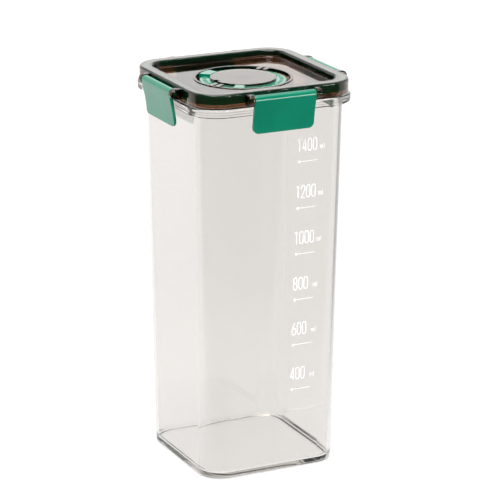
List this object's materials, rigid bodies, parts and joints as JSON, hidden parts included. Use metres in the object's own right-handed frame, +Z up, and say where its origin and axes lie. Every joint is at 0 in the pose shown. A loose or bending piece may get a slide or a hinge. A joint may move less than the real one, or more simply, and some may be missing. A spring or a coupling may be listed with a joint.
{
  "type": "square storage canister",
  "caption": "Tall square clear food canister with a lift-off lid, a silicone seal, snap latches and a date dial.",
  "frame": {"origin": "middle of the underside, on the surface that the feet stand on", "axes": "+Z up, -Y is the face with the measuring scale, +X to its right"},
  "size_m": [0.1158, 0.1158, 0.24],
  "materials": {
    "clear_plastic": "clear moulded",
    "smoke_plastic": "smoke tinted, moulded",
    "green_plastic": "gloss moulded",
    "green_silicone": "satin"
  },
  "bodies": {
    "canister": {"canister_body": "clear_plastic"},
    "lid": {"lid": "smoke_plastic", "lid_gasket": "green_silicone"},
    "date_ring": {"date_ring": "green_plastic"},
    "dial_disc": {"dial_disc": "smoke_plastic"},
    "latch_front": {"latch_front": "green_plastic"},
    "latch_right": {"latch_right": "green_plastic"},
    "latch_back": {"latch_back": "green_plastic"},
    "latch_left": {"latch_left": "green_plastic"}
  },
  "joints": [
    {"name": "lid_lift", "type": "slide", "parent": "canister", "child": "lid", "axis": [0, 0, 1], "range_m": [0, 0.06]},
    {"name": "latch_front_hinge", "type": "hinge", "parent": "lid", "child": "latch_front", "pos_m": [0, -0.0548, 0.236], "axis": [-1, 0, 0], "range_deg": [-6, 120]},
    {"name": "latch_right_hinge", "type": "hinge", "parent": "lid", "child": "latch_right", "pos_m": [0.0548, 0, 0.236], "axis": [0, -1, 0], "range_deg": [-6, 120]},
    {"name": "latch_back_hinge", "type": "hinge", "parent": "lid", "child": "latch_back", "pos_m": [0, 0.0548, 0.236], "axis": [1, 0, 0], "range_deg": [-6, 120]},
    {"name": "latch_left_hinge", "type": "hinge", "parent": "lid", "child": "latch_left", "pos_m": [-0.0548, 0, 0.236], "axis": [0, 1, 0], "range_deg": [-6, 120]},
    {"name": "date_ring_turn", "type": "hinge", "parent": "lid", "child": "date_ring", "pos_m": [0, 0, 0.234], "axis": [0, 0, 1], "range_deg": [-15, 60]},
    {"name": "dial_disc_turn", "type": "hinge", "parent": "lid", "child": "dial_disc", "pos_m": [0, 0, 0.2356], "axis": [0, 0, 1], "continuous": true}
  ]
}
